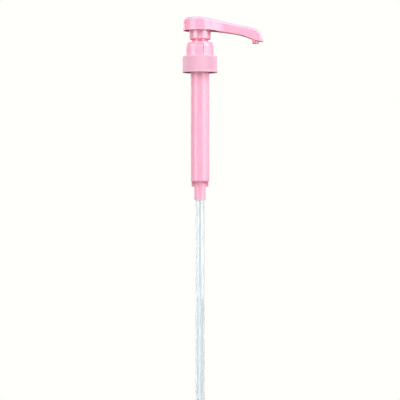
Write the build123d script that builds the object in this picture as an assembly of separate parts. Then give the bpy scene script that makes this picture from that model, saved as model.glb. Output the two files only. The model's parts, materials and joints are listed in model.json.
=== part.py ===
from build123d import *
import os
from math import acos, atan, cos, pi, sin, sqrt, tan

os.makedirs("parts", exist_ok=True)

# Condiment pump dispenser: a spring-loaded piston pump with a screw cap for a 38 mm bottle neck.
# Millimetres, +Z up. The origin is on the pump's axis in the plane of the bottle's rim, under the
# gasket, and the spout points along +X. The head is drawn locked down, as the pump ships.

# ---------- fits ----------
press = 0.02                    # radial gap of parts pushed together for good
run = 0.05                      # radial gap of parts that slide or turn on each other
snap = 0.12                     # radial gap of the collar on its spigot
play = 0.1                      # gap along the axis between parts that only just touch
stop_gap = 0.3                  # gap left when the piston's travel ends
seat_gap = 0.01                 # a ball's gap over its seat
sink = 0.2                      # how far an added shape is buried in the wall that carries it
margin = 5.0                    # how far a cutting shape runs past what it cuts

# ---------- bottle neck and cap ----------
neck_thread_d = 37.4            # outside diameter of the neck's thread
neck_thread_pitch = 4.23
neck_thread_turns = 1.75
neck_thread_depth = 1.2
neck_thread_play = 0.25
thread_flat = 0.5               # width of a thread's crest
cap_wall = 1.7
cap_top = 1.4
cap_skirt = 18.2                # from the underside of the cap's top to its lower edge
cap_band_h = 2.1                # plain band under the cap's grip
cap_band_step = 0.25            # how far the band stands out from the grip
cap_edge = 0.9                  # chamfer and plain edge over the grip
cap_ribs = 120
cap_rib_depth = 0.35
cap_hole_gap = 0.35

# ---------- barrel ----------
barrel_d = 22.6
barrel_wall = 1.4
barrel_depth = 144.6            # from the bottle's rim to the barrel's floor
floor_t = 2.0
foot_chamfer = 1.2
spigot_wall = 1.9
spigot_h = 9.8
bead_h = 0.3
bead_w = 1.8
bead_drop = 3.3                 # from the spigot's top to the bead's middle
vent_r = 0.8
vent_drop = 11.0                # from the bottle's rim to the vent

# ---------- gasket and flange ----------
gasket_t = 1.6
gasket_step = 1.7               # gasket's inner radius over the barrel's
gasket_margin = 0.1             # gasket's edge inside the flange's edge
flange_margin = 0.15            # flange's edge inside the crest of the cap's thread
flange_t = 1.6
locator_drop = 2.1              # height of the cone that centres the gasket

# ---------- foot valve and dip tube ----------
inlet_ball_r = 4.0
chamber_gap = 1.2               # round the inlet ball
chamber_depth = 7.0
inlet_hole_share = 0.625        # inlet hole's radius over the ball's
web_t = 1.2
foot_wall = 1.68
fin_h = 5.2
fin_t = 1.6
fins = 4
tube_r = 5.3
tube_wall = 1.1
tube_insert = 12.3
tube_reach = 410.0              # from the bottle's rim to the tube's end

# ---------- ball cage over the foot valve ----------
cage_gap = 0.4                  # round the inlet ball
cage_flange_t = 2.0
cage_skirt = 2.0
cage_bar_t = 1.6
cage_bar_w = 1.4

# ---------- return spring ----------
spring_gap = 1.3                # from the spring to the barrel's bore
spring_wire = 1.3
spring_coils = 15
spring_fill = 1.318             # locked spring's length over its solid length
spring_seat_gap = 0.4           # from the spring's inside to what centres it

# ---------- stem, piston and stem plug ----------
stem_r = 6.0
stem_wall = 2.0
shoulder_gap = 1.7              # from the stem's shoulder to the barrel's bore
shoulder_h = 2.0
piston_h = 14.0
piston_core_t = 1.25
piston_waist = 1.25             # how far the waist stands in from the lips
lip_t = 0.8
lip_band = 1.2
lip_h = 5.6
lip_pocket = 4.6
plug_flange_gap = 0.1           # plug's flange inside the spring's outer radius
plug_flange_t = 2.5
plug_boss_h = 3.0
plug_spigot_h = 8.0
outlet_hole_r = 2.0
outlet_seat_h = 1.4
outlet_ball_gap = 1.0           # round the outlet ball
outlet_lift = 3.0
stop_rib_h = 3.0
stop_rib_w = 1.2

# ---------- stem guide ----------
guide_floor_drop = 5.0          # from the spigot's top to the guide disc's top
guide_disc_t = 2.0
guide_sleeve_t = 1.55
guide_sleeve_up = 4.0
guide_reach = 8.0               # how far the guide's sleeve goes below the bottle's rim
guide_rim_t = 0.95
guide_flange_t = 0.8

# ---------- locking collar ----------
collar_t = 5.0                  # collar's radius over the spigot's
collar_h = 16.25
collar_gap = 0.15               # gap over the cap
collar_wall = 1.2
collar_sleeve_t = 1.28
collar_pocket_h = 10.4
collar_edge = 0.7               # rounding of the collar's top edge
bell_start = 9.6                # where the collar's bell begins to close in
bell_fall = 1.6                 # how far the bell closes in at its top
bell_steps = 6
grip_count = 3
grip_angle = 60.0               # how far each recess runs round the collar
grip_step = -73.0               # direction of the first recess's deep end
recess_depth = 1.3
recess_low = 2.6                # recess's lower edge over the collar's lower edge
recess_high = 1.7               # recess's upper edge under the collar's top

# ---------- lock thread between collar and head ----------
lock_pitch = 3.0
lock_turns = 2.0                # of the collar's thread
plug_turns = 1.5                # of the head's thread
lock_ridge = 0.85               # height of the collar's thread, and its start over the ledge
lock_step = 0.9                 # collar's bore over the barrel's, and plug's thread over its root
lock_play = 0.15                # gap between the two threads' crests

# ---------- head core ----------
neck_gap = 3.15                 # plain neck seen between collar and boss
boss_step = 3.2                 # boss's radius over the plain neck's
boss_h = 15.0
boss_wall = 1.6
boss_floor = 2.1
boss_round = 2.2
column_wall = 2.0               # column's wall over the stem
column_rise = 23.15             # from the boss's underside to the column's top
socket_depth = 25.0             # how deep the stem goes into the head core
spout_drop = 3.0                # from the column's top to the channel's axis over the pump's axis
spout_slope = 0.222             # fall of the channel per millimetre of reach
spout_root = 6.0                # where the channel's outer tube starts, inside the column
spout_r = 3.8
spout_bore_r = 2.7
spout_end_t = 0.8               # wall that closes the channel's front end
spout_end_gap = 6.5             # from the channel's front end to the beak's tip
nozzle_back = 3.0               # from the channel's front end back to the nozzle's axis
nozzle_r = 4.0
nozzle_bore_r = 2.8
nozzle_length = 9.8             # from the channel's axis down to the nozzle's tip

# ---------- head cover ----------
cover_step = 7.1                # cover's radius over the boss's
cover_boss_seen = 11.05         # how much of the boss shows under the cover's rim
cover_h = 15.4
cover_wall = 1.6
cover_roof = 1.8
cover_edge = 3.6
cover_back_fall = 0.9           # how far the top line falls behind the crown
beak_reach = 76.1
beak_drop = 13.0                # from the cover's rim down to the beak's tip
beak_half_w = 7.6               # at beak_side_x
beak_side_x = 36.0
beak_side_slope = 0.0424
beak_blend_r = 36.0
beak_front_lean = 0.283         # how far the beak's front leans back for its height
beak_top_slope = 0.28           # fall of the top line where it meets the nose
beak_corner_fall = 14.5         # from the crown to where the top line would meet the front
beak_nose_r = 12.0              # rounding of the nose in side view
beak_top = ((-5.0, 0.0), (23.8, 3.7), (47.8, 9.0))             # reach, and fall from the crown
beak_rim = ((22.6, 1.2), (38.2, 3.4), (53.8, 6.9), (62.2, 10.0), (70.0, 12.5))     # fall from the rim
beak_rim_start = 12.0           # where the rim begins to fall
beak_back_slope = 0.06          # rise of the top line behind the drum
beak_tip_slope = 0.05           # fall of the rim at the tip
cover_ring_t = 1.5
cover_ring_lift = 0.6           # inner ring's lower edge over the cover's rim
cover_slot_gap = 0.8            # each side of the channel where it passes the inner ring
cover_rib_t = 1.0
cover_rib_x = (30.0, 42.0, 54.0)
cover_rib_gap = 0.8             # round the channel

# ---------- levels and radii worked out from the sizes above ----------
cap_bore_r = neck_thread_d / 2 + neck_thread_play
cap_r = cap_bore_r + cap_wall
flange_top = gasket_t + flange_t
flange_r = cap_bore_r - neck_thread_depth - flange_margin
cap_under = flange_top + play
cap_crown = cap_under + cap_top
cap_low = cap_under - cap_skirt

barrel_r = barrel_d / 2
bore_r = barrel_r - barrel_wall
gasket_inner_r = barrel_r + gasket_step
floor_z = -barrel_depth
foot_z = floor_z - floor_t
spigot_r = bore_r + spigot_wall
spigot_top = flange_top + spigot_h
bead_z = spigot_top - bead_drop

chamber_r = inlet_ball_r + chamber_gap
inlet_hole_r = inlet_ball_r * inlet_hole_share
chamber_low = floor_z - chamber_depth
inlet_low = chamber_low - (chamber_r - inlet_hole_r)
socket_top = inlet_low - web_t
connector_low = socket_top - tube_insert
foot_r = max(tube_r + press, chamber_r) + foot_wall
tube_end = -tube_reach

spring_outer_r = bore_r - spring_gap
spring_inner_r = spring_outer_r - spring_wire
spring_locked = spring_coils * spring_wire * spring_fill
cage_bore_r = inlet_ball_r + cage_gap
cage_flange_r = spring_inner_r - spring_seat_gap

stem_bore_r = stem_r - stem_wall
shoulder_r = bore_r - shoulder_gap
plug_low = floor_z + spring_locked
plug_top = plug_low + plug_flange_t
plug_flange_r = spring_outer_r - plug_flange_gap
plug_boss_r = spring_inner_r - spring_seat_gap
plug_tip = plug_top + plug_spigot_h
piston_low = plug_top + run
piston_top = piston_low + piston_h
piston_core_r = stem_r + run + piston_core_t
piston_lip_r = bore_r - run
piston_web_r = piston_lip_r - piston_waist
shoulder_low = piston_top + run
shoulder_top = shoulder_low + shoulder_h
stroke = -guide_reach - stop_gap - shoulder_top
outlet_ball_r = stem_bore_r - outlet_ball_gap
outlet_seat_low = plug_tip - outlet_seat_h

collar_r = spigot_r + collar_t
collar_low = cap_crown + collar_gap
collar_top = collar_low + collar_h
collar_ledge = spigot_top + guide_flange_t + play
collar_bore_r = spigot_r + snap
guide_sleeve_r = stem_r + run + guide_sleeve_t

lock_root_r = bore_r + lock_step
lock_crest_r = lock_root_r - lock_ridge
neck_ring_r = lock_crest_r - lock_play
plug_root_r = neck_ring_r - lock_step

head_low = collar_ledge + play
stem_top = head_low + socket_depth - play
boss_r = neck_ring_r + boss_step
boss_low = collar_top + neck_gap
boss_top = boss_low + boss_h
column_r = stem_r + column_wall
column_top = boss_low + column_rise
spout_rise = column_top - spout_drop
spout_end = beak_reach - spout_end_gap
nozzle_x = spout_end - nozzle_back

cover_r = boss_r + cover_step
cover_rim = boss_low + cover_boss_seen
cover_crown = cover_rim + cover_h
beak_low = cover_rim - beak_drop
cover_ring_low = cover_rim + cover_ring_lift


def seated_height(ball_r, hole_r):
    """Height of a ball's centre over the lower edge of a 45 degree seat."""
    touch = ball_r * sin(pi / 4)
    return (touch - hole_r) + touch + seat_gap


inlet_ball_z = inlet_low + seated_height(inlet_ball_r, inlet_hole_r)
cage_bars_low = floor_z + cage_flange_t
inlet_lift = cage_bars_low - (inlet_ball_z + inlet_ball_r) - seat_gap
outlet_ball_z = outlet_seat_low + seated_height(outlet_ball_r, outlet_hole_r)
stop_rib_low = outlet_ball_z + outlet_ball_r + outlet_lift + seat_gap


# ---------- shape helpers ----------
def profile(points):
    """Closed face of (radius, height) corners in the XZ plane."""
    return Plane.XZ * make_face(Polyline(*points, close=True))


def spun(*points):
    """Solid of revolution about the pump's axis."""
    return revolve(profile(points), Axis.Z)


def ring(inner_r, outer_r, low, high):
    return spun((inner_r, low), (outer_r, low), (outer_r, high), (inner_r, high))


def rod(radius, low, high):
    height = high - low
    return Pos(0, 0, low + height / 2) * Cylinder(radius, height)


def bar(width, length, low, high, turn=0.0):
    """Box on the axis with its length along X, turned about Z."""
    height = high - low
    return Rot(0, 0, turn) * Pos(0, 0, low + height / 2) * Box(length, width, height)


def thread(root_r, crest_r, pitch, turns, low):
    """Helical ridge that grows from root_r to crest_r, inward or outward."""
    depth = crest_r - root_r
    toward = 1 if depth > 0 else -1
    half_crest = thread_flat / 2
    half_root = half_crest + abs(depth) / 2
    buried = root_r - toward * sink
    path = Helix(pitch=pitch, height=pitch * turns, radius=buried)
    section = Plane(origin=path @ 0, x_dir=(1, 0, 0), z_dir=path % 0) * make_face(
        Polyline(
            (0, -half_root),
            (depth + toward * sink, -half_crest),
            (depth + toward * sink, half_crest),
            (0, half_root),
            close=True,
        )
    )
    return Pos(0, 0, low) * sweep(section, path=path, is_frenet=True)


def edges_at(body, height, tolerance=0.01):
    """Edges that lie flat at one height."""
    return body.edges().filter_by_position(Axis.Z, height - tolerance, height + tolerance)


# ---------- housing: barrel with its flange, spigot, foot valve and fins ----------
def make_barrel():
    half_bead = bead_w / 2
    shell = spun(
        (bore_r, floor_z),
        (bore_r, spigot_top),
        (spigot_r - bead_h, spigot_top),
        (spigot_r, spigot_top - bead_h),
        (spigot_r, bead_z + half_bead),
        (spigot_r + bead_h, bead_z + half_bead - bead_h),
        (spigot_r + bead_h, bead_z - half_bead + bead_h),
        (spigot_r, bead_z - half_bead),
        (spigot_r, flange_top),
        (flange_r, flange_top),
        (flange_r, gasket_t),
        (gasket_inner_r - play, gasket_t),
        (gasket_inner_r - play, gasket_t - (locator_drop - (gasket_inner_r - play - barrel_r))),
        (barrel_r, gasket_t - locator_drop),
        (barrel_r, floor_z),
        (barrel_r - foot_chamfer, foot_z),
        (foot_r, foot_z),
        (foot_r, connector_low),
        (tube_r + press, connector_low),
        (tube_r + press, socket_top),
        (inlet_hole_r, socket_top),
        (inlet_hole_r, inlet_low),
        (chamber_r, chamber_low),
        (chamber_r, floor_z),
    )
    fin_r = barrel_r - foot_chamfer
    reach = fin_r - foot_r + sink
    fin = Pos(foot_r - sink + reach / 2, 0, foot_z - fin_h / 2) * Box(reach, fin_t, fin_h)
    for i in range(fins):
        shell += Rot(0, 0, 360 / fins * i) * fin
    vent = Pos(0, barrel_r, -vent_drop) * Rot(90, 0, 0) * Cylinder(vent_r, barrel_wall * 3)
    return shell - vent


def make_gasket():
    return ring(gasket_inner_r, flange_r - gasket_margin, 0, gasket_t)


def make_cage():
    cage = spun(
        (cage_bore_r, floor_z - cage_skirt),
        (chamber_r - press, floor_z - cage_skirt),
        (chamber_r - press, floor_z),
        (cage_flange_r, floor_z),
        (cage_flange_r, cage_bars_low),
        (cage_bore_r, cage_bars_low),
    )
    half_chord = sqrt(cage_flange_r**2 - (cage_bar_w / 2) ** 2)
    for turn in (0, 90):
        cage += bar(cage_bar_w, 2 * half_chord, cage_bars_low, cage_bars_low + cage_bar_t, turn)
    return cage


def make_dip_tube():
    return ring(tube_r - tube_wall, tube_r, tube_end, socket_top - play)


def make_spring():
    """Helix of constant pitch whose ends are ground flat."""
    coil_r = spring_outer_r - spring_wire / 2
    pitch = spring_locked / spring_coils
    path = Helix(pitch=pitch, height=spring_locked, radius=coil_r)
    wire = sweep(Plane(origin=path @ 0, z_dir=path % 0) * Circle(spring_wire / 2), path=path)
    ground = ring(coil_r - spring_wire, coil_r + spring_wire, floor_z, floor_z + spring_locked)
    return (Pos(0, 0, floor_z) * wire) & ground


def make_stem_guide():
    """Flanged bush that centres the stem and hangs in the barrel's mouth."""
    rim_r = bore_r - run
    disc_top = spigot_top - guide_floor_drop
    disc_low = disc_top - guide_disc_t
    lid_r = spigot_r - play
    lid_top = spigot_top + guide_flange_t
    bore = stem_r + run
    return spun(
        (bore, -guide_reach),
        (guide_sleeve_r, -guide_reach),
        (guide_sleeve_r, disc_low),
        (rim_r, disc_low),
        (rim_r, spigot_top),
        (lid_r, spigot_top),
        (lid_r, lid_top),
        (rim_r - guide_rim_t, lid_top),
        (rim_r - guide_rim_t, disc_top),
        (guide_sleeve_r, disc_top),
        (guide_sleeve_r, disc_top + guide_sleeve_up),
        (bore, disc_top + guide_sleeve_up),
    )


# ---------- locking collar ----------
def bell(offset, low, high):
    """Corners of the collar's outer line between two heights, moved outward by offset."""
    start = collar_low + bell_start
    span = collar_top - start
    heights = [low, start] + [start + span * (i + 1) / bell_steps for i in range(bell_steps)]
    return [
        (collar_r + offset - bell_fall * max(0.0, (z - start) / span) ** 2, z)
        for z in heights
        if low <= z <= high
    ]


def make_recess():
    """Dip that deepens round the collar's side and ends in a step along +X."""
    low = collar_low + recess_low
    high = collar_top - recess_high
    bell_body = spun((0, collar_low), *bell(0, collar_low, collar_top), (0, collar_top))
    wedge = profile([(lock_root_r, low), (collar_r + 1, low), (collar_r + 1, high), (lock_root_r, high)])
    wedge = Rot(0, 0, -grip_angle) * revolve(wedge, Axis.Z, revolution_arc=grip_angle)
    shift = recess_depth / sin(grip_angle * pi / 180)
    return wedge - Rot(0, 0, -90 - grip_angle) * Pos(shift, 0, 0) * bell_body


def make_collar():
    pocket_in = collar_bore_r + collar_sleeve_t
    pocket_out = collar_r - recess_depth - collar_wall
    pocket_top = collar_low + collar_pocket_h
    half_bead = bead_w / 2 + play
    groove_r = collar_bore_r + bead_h
    body = spun(
        (collar_bore_r, collar_low),
        (pocket_in, collar_low),
        (pocket_in, pocket_top),
        (pocket_out, pocket_top),
        (pocket_out, collar_low),
        *bell(0, collar_low, collar_top),
        (lock_root_r, collar_top),
        (lock_root_r, collar_ledge),
        (collar_bore_r, collar_ledge),
        (collar_bore_r, bead_z + half_bead),
        (groove_r, bead_z + half_bead - bead_h),
        (groove_r, bead_z - half_bead + bead_h),
        (collar_bore_r, bead_z - half_bead),
    )
    body = fillet(edges_at(body, collar_top).sort_by(SortBy.RADIUS)[-1], collar_edge)
    recess = make_recess()
    for i in range(grip_count):
        body -= Rot(0, 0, grip_step + 360 / grip_count * i) * recess
    lock_low = collar_ledge + lock_ridge
    return body + thread(lock_root_r, lock_crest_r, lock_pitch, lock_turns, lock_low)


# ---------- screw cap ----------
def make_cap():
    band_r = cap_r + cap_band_step
    band_top = cap_low + cap_band_h
    root_r = cap_r - cap_rib_depth
    grip_top = cap_crown - cap_edge
    shell = spun(
        (cap_bore_r, cap_low),
        (band_r, cap_low),
        (band_r, band_top),
        (root_r, band_top),
        (root_r, cap_crown - cap_edge / 2),
        (root_r - cap_edge / 2, cap_crown),
        (spigot_r + cap_hole_gap, cap_crown),
        (spigot_r + cap_hole_gap, cap_under),
        (cap_bore_r, cap_under),
    )
    steps = 2 * cap_ribs
    corners = [
        ((cap_r, root_r)[i % 2] * cos(2 * pi * i / steps), (cap_r, root_r)[i % 2] * sin(2 * pi * i / steps))
        for i in range(steps)
    ]
    star = make_face(Polyline(*[Vector(x, y) for x, y in corners], close=True)) - Circle(cap_bore_r + sink)
    grip = Pos(0, 0, band_top) * extrude(star, grip_top - band_top)
    ridge_low = cap_low + neck_thread_depth + thread_flat
    ridge = thread(
        cap_bore_r, cap_bore_r - neck_thread_depth, neck_thread_pitch, neck_thread_turns, ridge_low
    )
    return shell + grip + ridge


# ---------- piston, stem and valves ----------
def make_piston():
    """Double-lipped seal that rides on the stem."""
    low, high = piston_low, piston_top
    bore = stem_r + run
    lip_r = piston_lip_r
    return spun(
        (bore, low),
        (piston_core_r, low),
        (piston_core_r, low + lip_pocket),
        (lip_r - lip_t, low),
        (lip_r, low),
        (lip_r, low + lip_band),
        (piston_web_r, low + lip_h),
        (piston_web_r, high - lip_h),
        (lip_r, high - lip_band),
        (lip_r, high),
        (lip_r - lip_t, high),
        (piston_core_r, high - lip_pocket),
        (piston_core_r, high),
        (bore, high),
    )


def make_stem():
    stem = spun(
        (stem_bore_r, plug_top),
        (stem_r, plug_top),
        (stem_r, shoulder_low),
        (shoulder_r, shoulder_low),
        (shoulder_r, shoulder_top),
        (stem_r, shoulder_top),
        (stem_r, stem_top),
        (stem_bore_r, stem_top),
    )
    for turn in (0, 90):
        length = 2 * (stem_bore_r + sink)
        stem += bar(stop_rib_w, length, stop_rib_low, stop_rib_low + stop_rib_h, turn)
    return stem


def make_stem_plug():
    return spun(
        (outlet_hole_r, plug_low - plug_boss_h),
        (plug_boss_r, plug_low - plug_boss_h),
        (plug_boss_r, plug_low),
        (plug_flange_r, plug_low),
        (plug_flange_r, plug_top),
        (stem_bore_r - press, plug_top),
        (stem_bore_r - press, plug_tip),
        (outlet_hole_r + outlet_seat_h, plug_tip),
        (outlet_hole_r, outlet_seat_low),
    )


def make_ball(radius, height):
    return Pos(0, 0, height) * Sphere(radius)


# ---------- head core: lock plug, boss, column, spout channel and nozzle ----------
spout_tilt = atan(spout_slope)


def channel_height(x):
    return spout_rise - spout_slope * x


def along_spout(start_x, end_x, radius):
    """Cylinder on the sloping channel's axis between two distances from the pump's axis."""
    length = (end_x - start_x) / cos(spout_tilt)
    start = Vector(start_x, 0, channel_height(start_x))
    direction = Vector(cos(spout_tilt), 0, -sin(spout_tilt))
    plane = Plane(origin=start + direction * (length / 2), x_dir=(0, 1, 0), z_dir=direction)
    return plane * Cylinder(radius, length)


def make_head_core():
    pocket_out = boss_r - boss_wall
    body = spun(
        (stem_r + press, head_low),
        (plug_root_r, head_low),
        (plug_root_r, collar_top - lock_pitch / 2),
        (neck_ring_r, collar_top - lock_pitch / 2 + neck_ring_r - plug_root_r),
        (neck_ring_r, boss_low),
        (boss_r, boss_low),
        (boss_r, boss_top),
        (pocket_out, boss_top),
        (pocket_out, boss_low + boss_floor),
        (column_r, boss_low + boss_floor),
        (column_r, column_top),
        (0, column_top),
        (0, spout_rise),
        (stem_bore_r, spout_rise),
        (stem_bore_r, head_low + socket_depth),
        (stem_r + press, head_low + socket_depth),
    )
    body = fillet(edges_at(body, boss_low).sort_by(SortBy.RADIUS)[-1], boss_round)
    body += along_spout(spout_root, spout_end, spout_r)
    nozzle_top = channel_height(nozzle_x)
    nozzle_low = nozzle_top - nozzle_length
    body += Pos(nozzle_x, 0, 0) * rod(nozzle_r, nozzle_low, nozzle_top)
    body -= along_spout(stem_bore_r / 2, spout_end - spout_end_t, spout_bore_r)
    body -= Pos(nozzle_x, 0, 0) * rod(nozzle_bore_r, nozzle_low - play, nozzle_top)
    lock_low = head_low + lock_ridge
    return body + thread(plug_root_r, neck_ring_r, lock_pitch, plug_turns, lock_low)


# ---------- head cover ----------
def beak_geometry():
    """Unit directions of the beak's side and the centre of the arc that blends it into the drum."""
    slope = atan(beak_side_slope)
    along = Vector(cos(slope), -sin(slope))
    outward = Vector(sin(slope), cos(slope))
    side = Vector(beak_side_x, beak_half_w)
    base = side + outward * beak_blend_r
    reach = cover_r + beak_blend_r
    half = base.dot(along)
    shift = sqrt(half**2 - (base.dot(base) - reach**2)) - half
    return side, along, outward, base + along * shift


def head_outline(inset):
    """Plan of the cover: a drum blended by concave arcs into a narrow beak with a square end."""
    side, along, outward, centre = beak_geometry()
    drum_r = cover_r - inset
    blend_r = beak_blend_r + inset
    toward = centre.normalized()
    leave = toward * drum_r
    land = centre - outward * blend_r
    middle = centre - (toward + outward).normalized() * blend_r
    far = side - outward * inset + along * (beak_reach + margin - beak_side_x)

    def low(v):
        return Vector(v.X, -v.Y)

    lines = [
        ThreePointArc(low(leave), Vector(-drum_r, 0), leave),
        ThreePointArc(leave, middle, land),
        Line(land, far),
        Line(far, low(far)),
        Line(low(far), low(land)),
        ThreePointArc(low(land), low(middle), low(leave)),
    ]
    return make_face(Wire(lines))


def beak_tip_x(z):
    """Reach of the beak's leaning front at a height."""
    return beak_reach - beak_front_lean * (z - beak_low)


def head_profile(inset, drop, rim):
    """Side view of the cover, with its top lowered by drop and its front moved back by inset."""
    back = -cover_r - margin
    crown = cover_crown - drop
    nose_r = beak_nose_r - inset
    top_way = Vector(1, -beak_top_slope).normalized()
    front_way = Vector(beak_front_lean, -1).normalized()
    corner_z = crown - beak_corner_fall
    corner = Vector(beak_tip_x(corner_z) - inset, corner_z)
    tangent = nose_r * tan(acos(top_way.dot(front_way)) / 2)
    nose_top = corner - top_way * tangent
    nose_low = corner + front_way * tangent
    top_line = Spline(
        (back, crown - cover_back_fall),
        *[(x, crown - fall) for x, fall in beak_top],
        nose_top,
        tangents=[(1, beak_back_slope), top_way],
    )
    nose = TangentArc(nose_top, nose_low, tangent=top_way)
    if rim:
        tip = Vector(beak_reach, beak_low)
        under = Spline(
            (beak_rim_start, cover_rim),
            *[(x, cover_rim - fall) for x, fall in beak_rim],
            tip,
            tangents=[(1, 0), (1, -beak_tip_slope)],
        )
        start = Vector(back, cover_rim)
        lines = [Line((beak_rim_start, cover_rim), start), under]
    else:
        low = beak_low - sink
        tip = Vector(beak_tip_x(low) - inset, low)
        start = Vector(back, low)
        lines = [Line(tip, start)]
    lines += [Line(start, top_line @ 0), top_line, nose, Line(nose_low, tip)]
    return Plane.XZ.offset(-cover_r - margin) * make_face(Wire.combine(lines)[0])


def cover_blank(inset, drop, rim):
    """Solid that fills the cover's outer or inner shape, with its top and front edges rounded."""
    plan = extrude(head_outline(inset), cover_crown + margin)
    side = extrude(head_profile(inset, drop, rim), 2 * (cover_r + margin))
    body = plan & side
    top_edges = body.edges().filter_by(lambda e: e.center().Z > cover_rim + cover_edge)
    drum_edge = top_edges.sort_by(Axis.X)[0]
    return fillet(drum_edge, cover_edge - inset)


def make_head_cover():
    shell = cover_blank(0, 0, True) - cover_blank(cover_wall, cover_roof, False)
    inside = cover_blank(cover_wall - sink, cover_roof - sink, False)
    ring_in = boss_r + press
    ring_out = ring_in + cover_ring_t
    stiff = ring(ring_in, ring_out, cover_ring_low, cover_crown)
    slot_w = 2 * (spout_r + cover_slot_gap)
    stiff -= Pos(ring_out, 0, cover_rim) * Box(2 * (ring_out - column_r), slot_w, 2 * cover_h)
    notch = along_spout(cover_r, spout_end, spout_r + cover_rib_gap)
    for x in cover_rib_x:
        low = channel_height(x)
        rib = Pos(x, 0, (low + cover_crown) / 2) * Box(cover_rib_t, 4 * beak_half_w, cover_crown - low)
        stiff += rib - notch
    return shell + (stiff & inside)


# ---------- build and export ----------
nodes = {
    "pump_barrel": make_barrel,
    "neck_gasket": make_gasket,
    "lock_collar": make_collar,
    "stem_guide": make_stem_guide,
    "inlet_ball_cage": make_cage,
    "dip_tube": make_dip_tube,
    "return_spring": make_spring,
    "screw_cap": make_cap,
    "piston": make_piston,
    "stem": make_stem,
    "stem_plug": make_stem_plug,
    "head_core": make_head_core,
    "head_cover": make_head_cover,
    "inlet_ball": lambda: make_ball(inlet_ball_r, inlet_ball_z),
    "outlet_ball": lambda: make_ball(outlet_ball_r, outlet_ball_z),
}
for name, make in nodes.items():
    solid = make()
    export_step(solid, f"parts/{name}.step")
    print(name, round(solid.volume, 1), len(solid.solids()), solid.is_valid)
print("stroke", round(stroke, 3), "inlet lift", round(inlet_lift, 3), "outlet lift", outlet_lift)
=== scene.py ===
import json
import math

import bpy
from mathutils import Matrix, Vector


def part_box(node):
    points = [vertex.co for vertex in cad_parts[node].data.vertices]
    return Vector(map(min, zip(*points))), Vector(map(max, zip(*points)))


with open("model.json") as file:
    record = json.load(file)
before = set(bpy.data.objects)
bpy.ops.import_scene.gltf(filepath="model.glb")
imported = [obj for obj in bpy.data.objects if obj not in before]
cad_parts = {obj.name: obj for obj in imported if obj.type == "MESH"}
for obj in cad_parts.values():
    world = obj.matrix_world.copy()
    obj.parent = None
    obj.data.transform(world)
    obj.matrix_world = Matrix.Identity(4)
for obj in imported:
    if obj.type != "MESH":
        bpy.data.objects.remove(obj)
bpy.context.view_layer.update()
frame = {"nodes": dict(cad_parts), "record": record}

MM = 0.001

# ---------- camera: level with the middle of the view, two metres in front of the pump ----------
VIEW_CENTRE = Vector((0.0, 0.0, -0.1678))
CAMERA_DISTANCE = 2.1
VIEW_WIDTH = 0.48
SENSOR = 36.0                   # width of the camera's sensor, mm
CLIP_NEAR, CLIP_FAR = 0.05, 50.0

# ---------- studio ----------
FLOOR_Z = -0.66
FLOOR_RADIUS = 1.6
FLOOR_STEPS = 96
FLOOR_COLOUR = (0.62, 0.62, 0.60)
FLOOR_GLOW = (1.0, 1.0, 0.97)
FLOOR_GLOW_STRENGTH = 0.45
BACKDROP = (1.0, 1.0, 0.965)
STUDIO_DISTANCE = 1.3           # from the pump to each softbox
SOFTBOXES = {                   # azimuth from the camera towards +X, elevation, width, height, brightness
    "key": (52.0, 24.0, 0.95, 1.6, 4.4),
    "side": (90.0, 24.0, 0.7, 1.6, 2.2),
    "fill": (-52.0, 24.0, 0.95, 1.6, 3.8),
    "low": (-25.0, -14.0, 1.2, 0.3, 2.8),
    "back_right": (150.0, 10.0, 0.7, 1.6, 1.1),
    "back_left": (-150.0, 10.0, 0.7, 1.6, 1.8),
    "overhead": (0.0, 80.0, 1.4, 1.0, 1.9),
}
SIDE_LEVEL = 0.12               # how bright the backdrop is to rays bent inside a tube's wall
STRAIGHT_CROSSINGS = 3.5        # a ray that goes straight through a tube crosses four surfaces
SURROUND = 0.12                 # how bright the dark room is to everything but the camera



# ---------- plastics ----------
ROSE = (0.85, 0.375, 0.50)
ROSE_CAP = (0.69, 0.39, 0.49)
NATURAL = (0.60, 0.60, 0.56)
FOAM = (0.80, 0.80, 0.77)
ROUND_STEEL = (0.75, 0.76, 0.78)
WIRE_STEEL = (0.62, 0.63, 0.65)
PLASTIC_IOR = 1.49
TUBE_IOR = 1.5
TUBE_CLARITY = 0.78
GLOW_REACH = (1.0, 0.25, 0.35)  # how far red, green and blue spread under the skin, as parts of GLOW_DEPTH
GLOW_DEPTH = 3.0 * MM
# painted shade: darker, deeper pink for the groove between the collar's top and the boss
GROOVE_SHADE_TINT = (0.94, 0.62, 0.68)
GROOVE_GAP = 3.15 * MM          # between the collar's top and the boss
GROOVE_BELOW = 2.0 * MM         # how far the tint runs under the collar's top
GROOVE_ABOVE = 0.3 * MM         # and up onto the boss
BAND_EDGE = 0.12                # soft edge of a tinted band, as a part of its height
TUBE_CUTS = 3                   # halvings of the dip tube's long faces


# ---------- node helpers ----------
MIX_FACTOR, MIX_A, MIX_B, MIX_RESULT = 0, 6, 7, 2       # a Mix node's colour sockets


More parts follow.
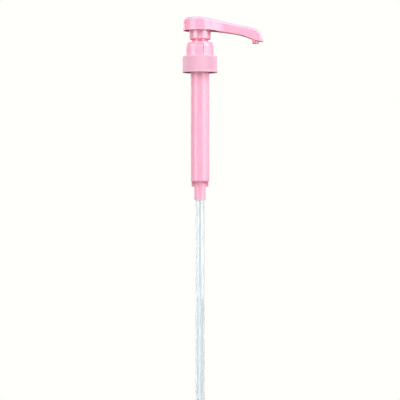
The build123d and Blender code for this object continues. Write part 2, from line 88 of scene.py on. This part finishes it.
class Shader:
    """A material's node tree with a Principled BSDF, and short calls that add linked nodes."""

    def __init__(self, name):
        self.material = bpy.data.materials.new(name)
        self.material.use_nodes = True
        self.nodes = self.material.node_tree.nodes
        self.links = self.material.node_tree.links
        self.bsdf = self.nodes["Principled BSDF"]
        self.place = self.nodes.new("ShaderNodeTexCoord").outputs["Object"]

    def set(self, **values):
        for key, value in values.items():
            self.bsdf.inputs[key.replace("_", " ")].default_value = value
        return self

    def noise(self, scale, detail=4.0, rough=0.5, stretch=None):
        node = self.nodes.new("ShaderNodeTexNoise")
        node.inputs["Scale"].default_value = scale
        node.inputs["Detail"].default_value = detail
        node.inputs["Roughness"].default_value = rough
        source = self.place
        if stretch:
            squeeze = self.nodes.new("ShaderNodeMapping")
            squeeze.inputs["Scale"].default_value = stretch
            self.links.new(source, squeeze.inputs["Vector"])
            source = squeeze.outputs["Vector"]
        self.links.new(source, node.inputs["Vector"])
        return node.outputs["Fac"]

    def ramp(self, value, *stops):
        node = self.nodes.new("ShaderNodeValToRGB")
        steps = node.color_ramp.elements
        while len(steps) < len(stops):
            steps.new(0.5)
        for step, (at, colour) in zip(steps, stops):
            step.position = at
            step.color = (*colour, 1.0)
        self.links.new(value, node.inputs["Fac"])
        return node.outputs["Color"]

    def spread(self, value, low, high):
        node = self.nodes.new("ShaderNodeMapRange")
        node.inputs["To Min"].default_value = low
        node.inputs["To Max"].default_value = high
        self.links.new(value, node.inputs["Value"])
        return node.outputs["Result"]

    def bump(self, value, height, strength=1.0, under=None):
        node = self.nodes.new("ShaderNodeBump")
        node.inputs["Strength"].default_value = strength
        node.inputs["Distance"].default_value = height
        self.links.new(value, node.inputs["Height"])
        if under:
            self.links.new(under, node.inputs["Normal"])
        return node.outputs["Normal"]

    def math(self, operation, *values):
        node = self.nodes.new("ShaderNodeMath")
        node.operation = operation
        for socket, value in zip(node.inputs, values):
            if isinstance(value, float):
                socket.default_value = value
            else:
                self.links.new(value, socket)
        return node.outputs[0]

    def banded(self, colour, low, high, tint):
        """Multiply a colour by a tint between two heights, with soft edges."""
        place = self.nodes.new("ShaderNodeSeparateXYZ")
        self.links.new(self.place, place.inputs[0])
        edge = (high - low) * BAND_EDGE
        middle, half = (low + high) / 2, (high - low) / 2
        away = self.math("ABSOLUTE", self.math("SUBTRACT", place.outputs["Z"], middle))
        inside = self.math("DIVIDE", self.math("SUBTRACT", half, away), edge)
        mix = self.nodes.new("ShaderNodeMix")
        mix.data_type = "RGBA"
        mix.blend_type = "MULTIPLY"
        mix.inputs[MIX_B].default_value = (*tint, 1.0)
        self.links.new(inside, mix.inputs[MIX_FACTOR])
        self.links.new(colour, mix.inputs[MIX_A])
        return mix.outputs[MIX_RESULT]

    def to(self, socket, value):
        self.links.new(value, self.bsdf.inputs[socket])
        return self


def tinted(colour, factor):
    return tuple(min(1.0, c * factor) for c in colour)


def moulded(name, colour, rough, grain=0.02, glow=0.35, groove=None, specular=0.5):
    """Injection-moulded plastic: flow mottling, uneven gloss with fine rub marks, orange-peel skin.

    A groove is (low, high, tint): the colour is multiplied by the tint between two heights in metres. It is
    painted shade: a darker, deeper pink band that stands in for the shadow and the light bounced between
    the pink walls of a narrow groove.
    """
    shader = Shader(name)
    flow = shader.noise(38.0, 3.0, 0.55, (1.0, 1.0, 0.35))
    skin = shader.ramp(flow, (0.3, tinted(colour, 0.97)), (0.7, tinted(colour, 1.03)))
    if groove:
        skin = shader.banded(skin, *groove)
    shader.to("Base Color", skin)
    scuffs = shader.noise(160.0, 6.0, 0.7, (1.0, 1.0, 0.06))
    rubs = shader.ramp(scuffs, (0.56, (0, 0, 0)), (0.66, (1, 1, 1)))
    uneven = shader.spread(shader.noise(220.0, 5.0, 0.6), rough * 0.85, rough * 1.2)
    shader.to("Roughness", shader.math("MULTIPLY_ADD", rubs, rough * 0.35, uneven))
    peel = shader.bump(shader.noise(900.0, 3.0, 0.5), grain * MM)
    shader.to("Normal", shader.bump(flow, 0.03 * MM, under=peel))
    shader.set(IOR=PLASTIC_IOR, Specular_IOR_Level=specular)
    shader.set(Subsurface_Weight=glow, Subsurface_Radius=GLOW_REACH, Subsurface_Scale=GLOW_DEPTH)
    return shader.material


def clear_plastic(name):
    """Extruded polyethylene tube: clear, faintly blue, with draw lines along its length."""
    shader = Shader(name)
    lines = shader.noise(700.0, 2.0, 0.5, (1.0, 1.0, 0.0005))
    shader.to("Base Color", shader.ramp(lines, (0.3, (0.80, 0.85, 0.88)), (0.7, (0.88, 0.92, 0.945))))
    shader.to("Roughness", shader.spread(lines, 0.0, 0.03))
    shader.to("Normal", shader.bump(lines, 0.001 * MM))
    shader.set(IOR=TUBE_IOR, Transmission_Weight=TUBE_CLARITY)
    return shader.material


def metal(name, colour, rough, stretch):
    """Drawn or polished steel with fine lines."""
    shader = Shader(name)
    lines = shader.noise(900.0, 4.0, 0.6, stretch)
    shader.to("Base Color", shader.ramp(lines, (0.3, tinted(colour, 0.85)), (0.7, colour)))
    shader.to("Roughness", shader.spread(lines, rough * 0.7, rough * 1.4))
    shader.to("Normal", shader.bump(lines, 0.01 * MM))
    shader.set(Metallic=1.0)
    return shader.material


materials = {
    "rose_plastic": moulded("rose_plastic", ROSE, 0.17),
    "rose_cap": moulded("rose_cap", ROSE_CAP, 0.55, 0.05, 0.08),
    "clear_tube": clear_plastic("clear_tube"),
    "natural_plastic": moulded("natural_plastic", NATURAL, 0.4),
    "steel": metal("drawn_steel", WIRE_STEEL, 0.3, (1.0, 1.0, 0.2)),
    "ball_steel": metal("polished_steel", ROUND_STEEL, 0.12, (1.0, 1.0, 1.0)),
    "gasket_foam": moulded("gasket_foam", FOAM, 0.8, 0.2),
}
collar_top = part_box("lock_collar")[1][2]
# painted shade on head_core: a darker band from under the collar's top up onto the boss
groove = (collar_top - GROOVE_BELOW, collar_top + GROOVE_GAP + GROOVE_ABOVE, GROOVE_SHADE_TINT)
own = {"head_core": moulded("rose_polished", ROSE, 0.12, groove=groove, specular=1.0)}
slot_of = {s["node"]: s["material_slot"] for s in frame["record"]["subparts"]}
for name, node in frame["nodes"].items():
    mesh = node.data
    mesh.materials.clear()
    mesh.materials.append(own.get(name) or materials[slot_of[name]])
    for face in mesh.polygons:
        face.material_index = 0

finer = frame["nodes"]["dip_tube"].modifiers.new("finer_faces", "SUBSURF")
finer.subdivision_type = "SIMPLE"
finer.levels = finer.render_levels = TUBE_CUTS


# ---------- floor, lights, camera ----------
def disc(name, radius, height, steps):
    points = [(radius * math.cos(2 * math.pi * i / steps), radius * math.sin(2 * math.pi * i / steps), height)
              for i in range(steps)]
    mesh = bpy.data.meshes.new(name)
    mesh.from_pydata(points, [], [list(range(steps))])
    piece = bpy.data.objects.new(name, mesh)
    bpy.context.collection.objects.link(piece)
    return piece


floor = disc("studio_floor", FLOOR_RADIUS, FLOOR_Z, FLOOR_STEPS)
paper = moulded("studio_floor", FLOOR_COLOUR, 0.7, 0.05, 0.0)
paper_sockets = paper.node_tree.nodes["Principled BSDF"].inputs
paper_sockets["Emission Color"].default_value = (*FLOOR_GLOW, 1.0)
paper_sockets["Emission Strength"].default_value = FLOOR_GLOW_STRENGTH
floor.data.materials.append(paper)
floor.visible_diffuse = False
floor.visible_glossy = False


def softbox(name, azimuth, elevation, width, height, radiance):
    """Large soft light that faces the pump."""
    data = bpy.data.lights.new(name, "AREA")
    data.shape = "RECTANGLE"
    data.size = width
    data.size_y = height
    data.energy = radiance * math.pi * width * height
    lamp = bpy.data.objects.new(name, data)
    bpy.context.collection.objects.link(lamp)
    turn, rise = math.radians(azimuth), math.radians(elevation)
    toward = Vector((math.sin(turn) * math.cos(rise), -math.cos(turn) * math.cos(rise), math.sin(rise)))
    lamp.location = VIEW_CENTRE + toward * STUDIO_DISTANCE
    lamp.rotation_euler = toward.to_track_quat("Z", "Y").to_euler()
    lamp.visible_camera = False


for name, setting in SOFTBOXES.items():
    softbox(f"{name}_softbox", *setting)

# The camera sees the pale backdrop. Rays that leave the tube see it too, dimmed where its wall has bent them.
# All other rays see a dark room.
world = bpy.data.worlds.new("studio_room")
bpy.context.scene.world = world
world.use_nodes = True
nodes, links = world.node_tree.nodes, world.node_tree.links
nodes.clear()
seen = nodes.new("ShaderNodeBackground")
seen.inputs["Color"].default_value = (*BACKDROP, 1.0)
around = nodes.new("ShaderNodeBackground")
around.inputs["Color"].default_value = (1.0, 1.0, 1.0, 1.0)
around.inputs["Strength"].default_value = SURROUND
ray = nodes.new("ShaderNodeLightPath")
straight = nodes.new("ShaderNodeMath")
straight.operation = "GREATER_THAN"
straight.inputs[1].default_value = STRAIGHT_CROSSINGS
links.new(ray.outputs["Transmission Depth"], straight.inputs[0])
open_view = nodes.new("ShaderNodeMath")
open_view.operation = "MAXIMUM"
links.new(ray.outputs["Is Camera Ray"], open_view.inputs[0])
links.new(straight.outputs[0], open_view.inputs[1])
level = nodes.new("ShaderNodeMapRange")
level.inputs["To Min"].default_value = SIDE_LEVEL
links.new(open_view.outputs[0], level.inputs["Value"])
links.new(level.outputs["Result"], seen.inputs["Strength"])
through = nodes.new("ShaderNodeMath")
through.operation = "MAXIMUM"
links.new(ray.outputs["Is Camera Ray"], through.inputs[0])
links.new(ray.outputs["Is Transmission Ray"], through.inputs[1])
mix = nodes.new("ShaderNodeMixShader")
out = nodes.new("ShaderNodeOutputWorld")
links.new(through.outputs[0], mix.inputs["Fac"])
links.new(around.outputs["Background"], mix.inputs[1])
links.new(seen.outputs["Background"], mix.inputs[2])
links.new(mix.outputs["Shader"], out.inputs["Surface"])
bpy.context.scene.view_settings.view_transform = "Standard"

lens = bpy.data.cameras.new("camera")
lens.sensor_width = SENSOR
lens.lens = SENSOR * CAMERA_DISTANCE / VIEW_WIDTH
lens.clip_start = CLIP_NEAR
lens.clip_end = CLIP_FAR
camera = bpy.data.objects.new("camera", lens)
bpy.context.collection.objects.link(camera)
camera.location = VIEW_CENTRE + Vector((0.0, -CAMERA_DISTANCE, 0.0))
camera.rotation_euler = (math.radians(90.0), 0.0, 0.0)
bpy.context.scene.camera = camera

bpy.context.view_layer.update()
